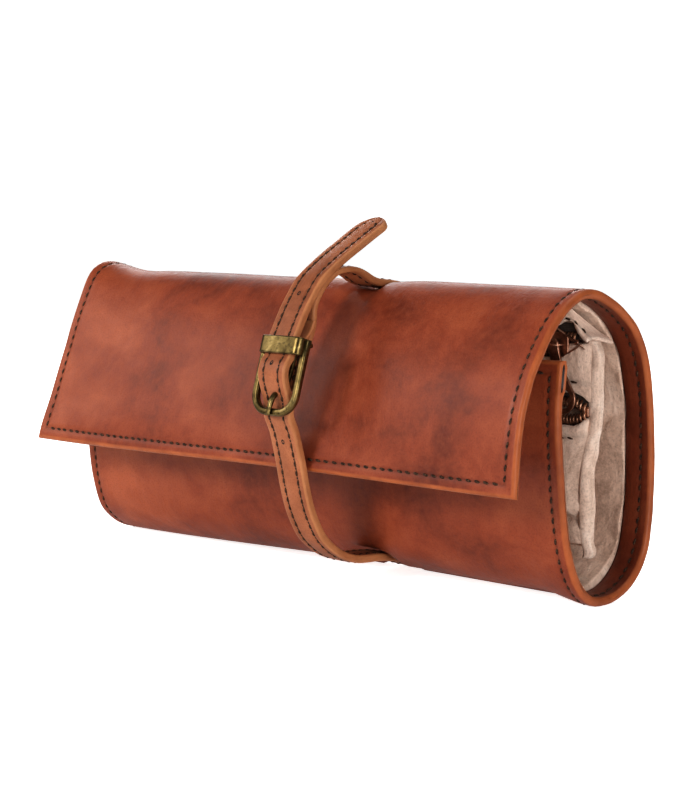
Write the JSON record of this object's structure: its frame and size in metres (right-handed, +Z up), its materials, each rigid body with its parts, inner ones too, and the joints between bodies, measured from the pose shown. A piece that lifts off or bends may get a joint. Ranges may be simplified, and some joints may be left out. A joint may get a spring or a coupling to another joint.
{
  "type": "brush roll case",
  "caption": "Leather roll case lying closed: a front flap held down by a buckled strap, stitched hems, and a suede lining with a zipped leaf and brush channels inside.",
  "frame": {"origin": "middle of the flat strip the case stands on, on the surface", "axes": "+X runs along the roll to its right-hand end, -Y is the front with the flap and buckle, +Z is up"},
  "size_m": [0.23, 0.0955, 0.1228],
  "materials": {
    "outer_leather": "glossy pull-up leather with soft dents and scratches",
    "hem_leather": "satin leather strip",
    "strap_leather": "satin leather with paler burnished edges",
    "antique_brass": "antique brass, brightened on the high edges",
    "zip_tape": "woven tape",
    "zip_teeth": "moulded coil teeth with a metallic coat",
    "zip_metal": "aged copper-toned metal",
    "suede": "brushed suede with a short nap"
  },
  "bodies": {
    "case": {"back_leather": "outer_leather", "back_lining": "suede", "back_hem_left": "hem_leather", "back_hem_right": "hem_leather", "brush_sleeve": "suede", "strap_base": "strap_leather", "strap_patch": "strap_leather"},
    "front_wall": {"wall_leather": "outer_leather", "wall_lining": "suede", "wall_hem_left": "hem_leather", "wall_hem_right": "hem_leather", "wall_hem_top": "hem_leather"},
    "flap": {"flap_leather": "outer_leather", "flap_lining": "suede", "flap_hem_left": "hem_leather", "flap_hem_right": "hem_leather", "flap_hem_bottom": "hem_leather"},
    "leaf": {"leaf_top_band": "suede", "leaf_middle_panel": "suede", "leaf_lower_panel": "suede", "leaf_backing": "suede", "leaf_edge_left": "suede", "leaf_edge_right": "suede", "upper_zip_tape_top": "zip_tape", "upper_zip_tape_bottom": "zip_tape", "upper_zip_teeth_top": "zip_teeth", "upper_zip_teeth_bottom": "zip_teeth", "upper_zip_stop_left": "zip_metal", "upper_zip_stop_right": "zip_metal", "lower_zip_tape_top": "zip_tape", "lower_zip_tape_bottom": "zip_tape", "lower_zip_teeth_top": "zip_teeth", "lower_zip_teeth_bottom": "zip_teeth", "lower_zip_stop_left": "zip_metal", "lower_zip_stop_right": "zip_metal"},
    "upper_slider": {"upper_zip_slider": "zip_metal"},
    "upper_pull": {"upper_zip_pull": "zip_metal"},
    "lower_slider": {"lower_zip_slider": "zip_metal"},
    "lower_pull": {"lower_zip_pull": "zip_metal"},
    "strap_over": {"strap_buckle_end": "strap_leather", "strap_fold": "strap_leather", "buckle_frame": "antique_brass"},
    "tongue": {"buckle_tongue": "antique_brass"},
    "tail_low": {"strap_tail_low": "strap_leather"},
    "tail_high": {"strap_tail_high": "strap_leather"}
  },
  "joints": [
    {"name": "flap_hinge", "type": "hinge", "parent": "case", "child": "flap", "pos_m": [0, -0.00801, 0.10399], "axis": [-1, 0, 0], "range_deg": [0, 120]},
    {"name": "wall_hinge", "type": "hinge", "parent": "case", "child": "front_wall", "pos_m": [0, -0.0183, 0.00437], "axis": [1, 0, 0], "range_deg": [0, 54]},
    {"name": "leaf_hinge", "type": "hinge", "parent": "case", "child": "leaf", "pos_m": [0, -0.0028, 0.0982], "axis": [-1, 0, 0], "range_deg": [0, 30]},
    {"name": "strap_hinge", "type": "hinge", "parent": "case", "child": "strap_over", "pos_m": [0, 0.02879, 0.0597], "axis": [-1, 0, 0], "range_deg": [0, 144]},
    {"name": "tail_hinge", "type": "hinge", "parent": "case", "child": "tail_low", "pos_m": [0, -0.01398, 0.00213], "axis": [1, 0, 0], "range_deg": [0, 30], "deforming": ["strap_tail_low"]},
    {"name": "tail_bend", "type": "hinge", "parent": "tail_low", "child": "tail_high", "pos_m": [0, -0.04968, 0.04211], "axis": [1, 0, 0], "range_deg": [0, 54], "deforming": ["strap_tail_high"]},
    {"name": "tongue_hinge", "type": "hinge", "parent": "strap_over", "child": "tongue", "pos_m": [0.0255, -0.04877, 0.08221], "axis": [-1, 0, 0], "range_deg": [0, 45]},
    {"name": "upper_zip_run", "type": "slide", "parent": "leaf", "child": "upper_slider", "axis": [-1, 0, 0], "range_m": [0, 0.17]},
    {"name": "upper_pull_swing", "type": "hinge", "parent": "upper_slider", "child": "upper_pull", "pos_m": [0.095, -0.0005, 0.0835], "axis": [0, 1, 0], "range_deg": [-75, 75]},
    {"name": "lower_zip_run", "type": "slide", "parent": "leaf", "child": "lower_slider", "axis": [1, 0, 0], "range_m": [0, 0.17]},
    {"name": "lower_pull_swing", "type": "hinge", "parent": "lower_slider", "child": "lower_pull", "pos_m": [-0.094, -0.0005, 0.062], "axis": [0, 1, 0], "range_deg": [-75, 75]}
  ],
  "couplings": [
    {"joint": "wall_hinge", "follows": "flap_hinge", "ratio": 0.45},
    {"joint": "leaf_hinge", "follows": "flap_hinge", "ratio": 0.25},
    {"joint": "strap_hinge", "follows": "flap_hinge", "ratio": 1.2},
    {"joint": "tail_hinge", "follows": "flap_hinge", "ratio": 0.25},
    {"joint": "tail_bend", "follows": "flap_hinge", "ratio": 0.45}
  ]
}
